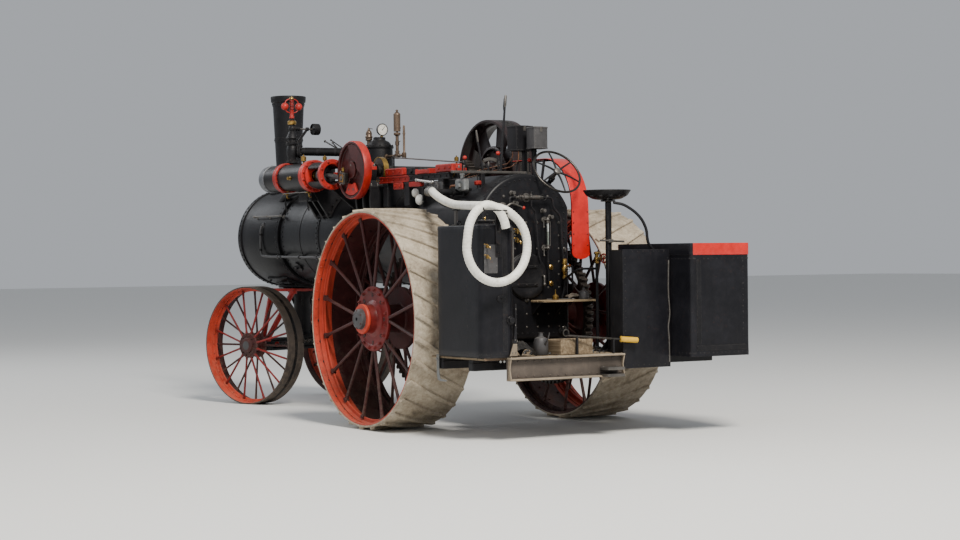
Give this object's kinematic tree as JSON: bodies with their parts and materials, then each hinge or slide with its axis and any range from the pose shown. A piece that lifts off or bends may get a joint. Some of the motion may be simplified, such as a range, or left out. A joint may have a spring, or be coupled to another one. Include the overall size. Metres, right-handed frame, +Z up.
{
  "type": "steam traction engine",
  "caption": "Black and red steam traction engine: locomotive boiler, side crank engine, big driven rear wheels, turned front axle, tank, bunker, footplate and looped suction hose.",
  "frame": {"origin": "on the ground under the middle of the machine's bounding box", "axes": "+X forward, +Y to the machine's left, +Z up"},
  "size_m": [6.771, 2.8528, 3.25],
  "materials": {
    "boiler_black": "satin black paint with soot and heat greying",
    "cast_black": "black painted casting",
    "sheet_black": "dull black sheet iron",
    "brass": "dull oiled brass",
    "gauge_white": "white enamel dial in a brass ring",
    "pipe_black": "black pipe",
    "red_iron": "faded red paint, oily",
    "red_sheet": "bright red paint on sheet",
    "bright_steel": "bright machined steel, oiled",
    "flywheel_black": "near-black red, bright worn face",
    "gear_iron": "greasy cast iron",
    "wheel_dark_red": "dark weathered red, earth-worn tread",
    "wheel_red": "weathered red, worn rim",
    "worn_steel": "handled steel",
    "tank_black": "riveted black plate",
    "rusty_plate": "rusty brown plate, dusty",
    "hose_white": "off-white ribbed rubber hose"
  },
  "bodies": {
    "chassis": {"boiler_barrel": "boiler_black", "smokebox": "boiler_black", "smoke_stack": "boiler_black", "firebox": "boiler_black", "ash_pan": "sheet_black", "steam_dome": "boiler_black", "safety_valve": "brass", "steam_gauge": "gauge_white", "whistle": "brass", "steam_pipe": "pipe_black", "governor": "red_iron", "cylinder": "cast_black", "crosshead_guide": "red_iron", "connecting_rod": "bright_steel", "crank_bearings": "red_iron", "drive_gears": "gear_iron", "gear_guard": "red_sheet", "axle_brackets": "cast_black", "countershaft": "gear_iron", "front_pedestal": "cast_black", "steering_column": "cast_black", "reverse_frame": "red_iron", "control_levers": "worn_steel", "oil_boxes": "sheet_black", "backhead_fittings": "worn_steel", "left_tank": "tank_black", "right_tank": "tank_black", "coal_bunker": "tank_black", "footplate": "rusty_plate", "drawbar": "rusty_plate", "seat": "cast_black", "suction_hose": "hose_white", "hose_hook": "worn_steel", "hose_coupling": "worn_steel"},
    "rotor": {"crankshaft": "bright_steel", "crank_disc": "red_iron", "eccentric": "brass", "flywheel": "flywheel_black"},
    "left_rear": {"left_rear_wheel": "wheel_dark_red", "left_bull_gear": "gear_iron"},
    "right_rear": {"right_rear_wheel": "wheel_dark_red", "right_bull_gear": "gear_iron"},
    "left_drive_pinion": {"left_pinion": "gear_iron"},
    "right_drive_pinion": {"right_pinion": "gear_iron"},
    "steering_axle": {"front_axle": "red_iron"},
    "left_front": {"left_front_wheel": "wheel_red"},
    "right_front": {"right_front_wheel": "wheel_red"},
    "steering_hand_wheel": {"steering_wheel": "cast_black"},
    "chain_roller": {"steering_roller": "gear_iron"},
    "smoke_door": {"smokebox_door": "cast_black"},
    "fire_hole_door": {"fire_door": "cast_black"},
    "filler_lid": {"tank_lid": "brass"}
  },
  "joints": [
    {"name": "crankshaft_turn", "type": "hinge", "parent": "chassis", "child": "rotor", "pos_m": [0.0765, 0, 2.335], "axis": [0, 1, 0], "continuous": true},
    {"name": "left_rear_wheel_turn", "type": "hinge", "parent": "chassis", "child": "left_rear", "pos_m": [-1.2135, 1, 0.97], "axis": [0, 1, 0], "continuous": true},
    {"name": "right_rear_wheel_turn", "type": "hinge", "parent": "chassis", "child": "right_rear", "pos_m": [-1.2135, -1, 0.97], "axis": [0, 1, 0], "continuous": true},
    {"name": "left_pinion_turn", "type": "hinge", "parent": "chassis", "child": "left_drive_pinion", "pos_m": [-0.4685, 0.7, 1.095], "axis": [0, 1, 0], "continuous": true},
    {"name": "right_pinion_turn", "type": "hinge", "parent": "chassis", "child": "right_drive_pinion", "pos_m": [-0.4685, -0.7, 1.095], "axis": [0, 1, 0], "continuous": true},
    {"name": "steering", "type": "hinge", "parent": "chassis", "child": "steering_axle", "pos_m": [2.5365, 0, 1.25], "axis": [0, 0, 1], "range_deg": [-44, 6]},
    {"name": "left_front_wheel_turn", "type": "hinge", "parent": "steering_axle", "child": "left_front", "pos_m": [2.3086, 0.6619, 0.61], "axis": [-0.3256, 0.9455, 0], "continuous": true},
    {"name": "right_front_wheel_turn", "type": "hinge", "parent": "steering_axle", "child": "right_front", "pos_m": [2.7644, -0.6619, 0.61], "axis": [-0.3256, 0.9455, 0], "continuous": true},
    {"name": "steering_wheel_turn", "type": "hinge", "parent": "chassis", "child": "steering_hand_wheel", "pos_m": [-1.8435, -0.33, 2.24], "axis": [-0.809, 0, 0.5878], "range_deg": [-540, 90]},
    {"name": "chain_roller_turn", "type": "hinge", "parent": "chassis", "child": "chain_roller", "pos_m": [0.2865, 0, 0.93], "axis": [0, 1, 0], "range_deg": [-270, 45]},
    {"name": "smokebox_door_hinge", "type": "hinge", "parent": "chassis", "child": "smoke_door", "pos_m": [3.0525, -0.46, 1.73], "axis": [0, 0, 1], "range_deg": [-120, 0]},
    {"name": "fire_door_hinge", "type": "hinge", "parent": "chassis", "child": "fire_hole_door", "pos_m": [-1.8835, 0.25, 1.33], "axis": [0, 0, 1], "range_deg": [-100, 0]},
    {"name": "tank_lid_hinge", "type": "hinge", "parent": "chassis", "child": "filler_lid", "pos_m": [-2.7735, 0.908, 1.796], "axis": [1, 0, 0], "range_deg": [0, 100]}
  ],
  "couplings": [
    {"joint": "left_pinion_turn", "follows": "left_rear_wheel_turn", "ratio": -5.3333},
    {"joint": "right_pinion_turn", "follows": "right_rear_wheel_turn", "ratio": -5.3333},
    {"joint": "steering_wheel_turn", "follows": "steering", "ratio": 12},
    {"joint": "chain_roller_turn", "follows": "steering", "ratio": 6}
  ]
}
